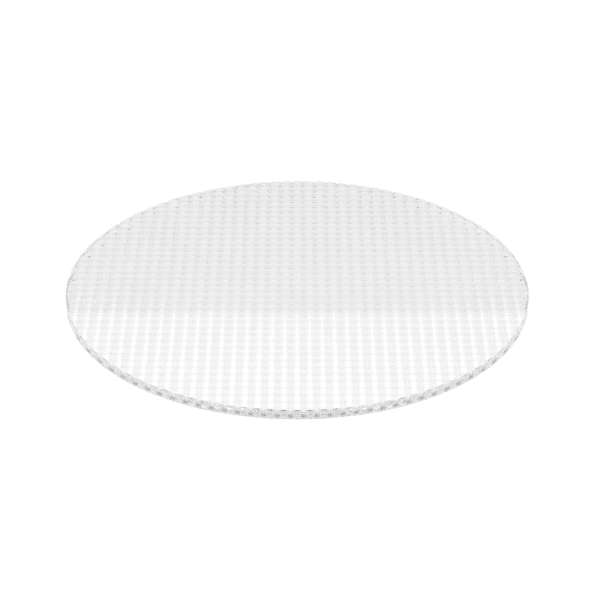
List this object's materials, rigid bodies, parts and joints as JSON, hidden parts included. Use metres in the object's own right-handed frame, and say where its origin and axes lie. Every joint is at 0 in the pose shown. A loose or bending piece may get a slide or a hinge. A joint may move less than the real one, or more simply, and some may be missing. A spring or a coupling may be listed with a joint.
{
  "type": "light spreading lens",
  "caption": "Flat round disc of clear glass with rounded ribs on top and much shallower ribs crossing them beneath, which spreads a lamp's beam.",
  "frame": {"origin": "middle of the underside, at the height of its lowest rib crests, where the disc rests on a flat surface", "axes": "+Z through the thickness, from the cross-ribbed underside to the main ribs on top; +Y along the main ribs; +X across them"},
  "size_m": [0.121, 0.121, 0.0027],
  "materials": {
    "glass": "clear colourless rolled glass, bright ribs, ground edge"
  },
  "bodies": {
    "root": {"lens": "glass"}
  },
  "joints": []
}
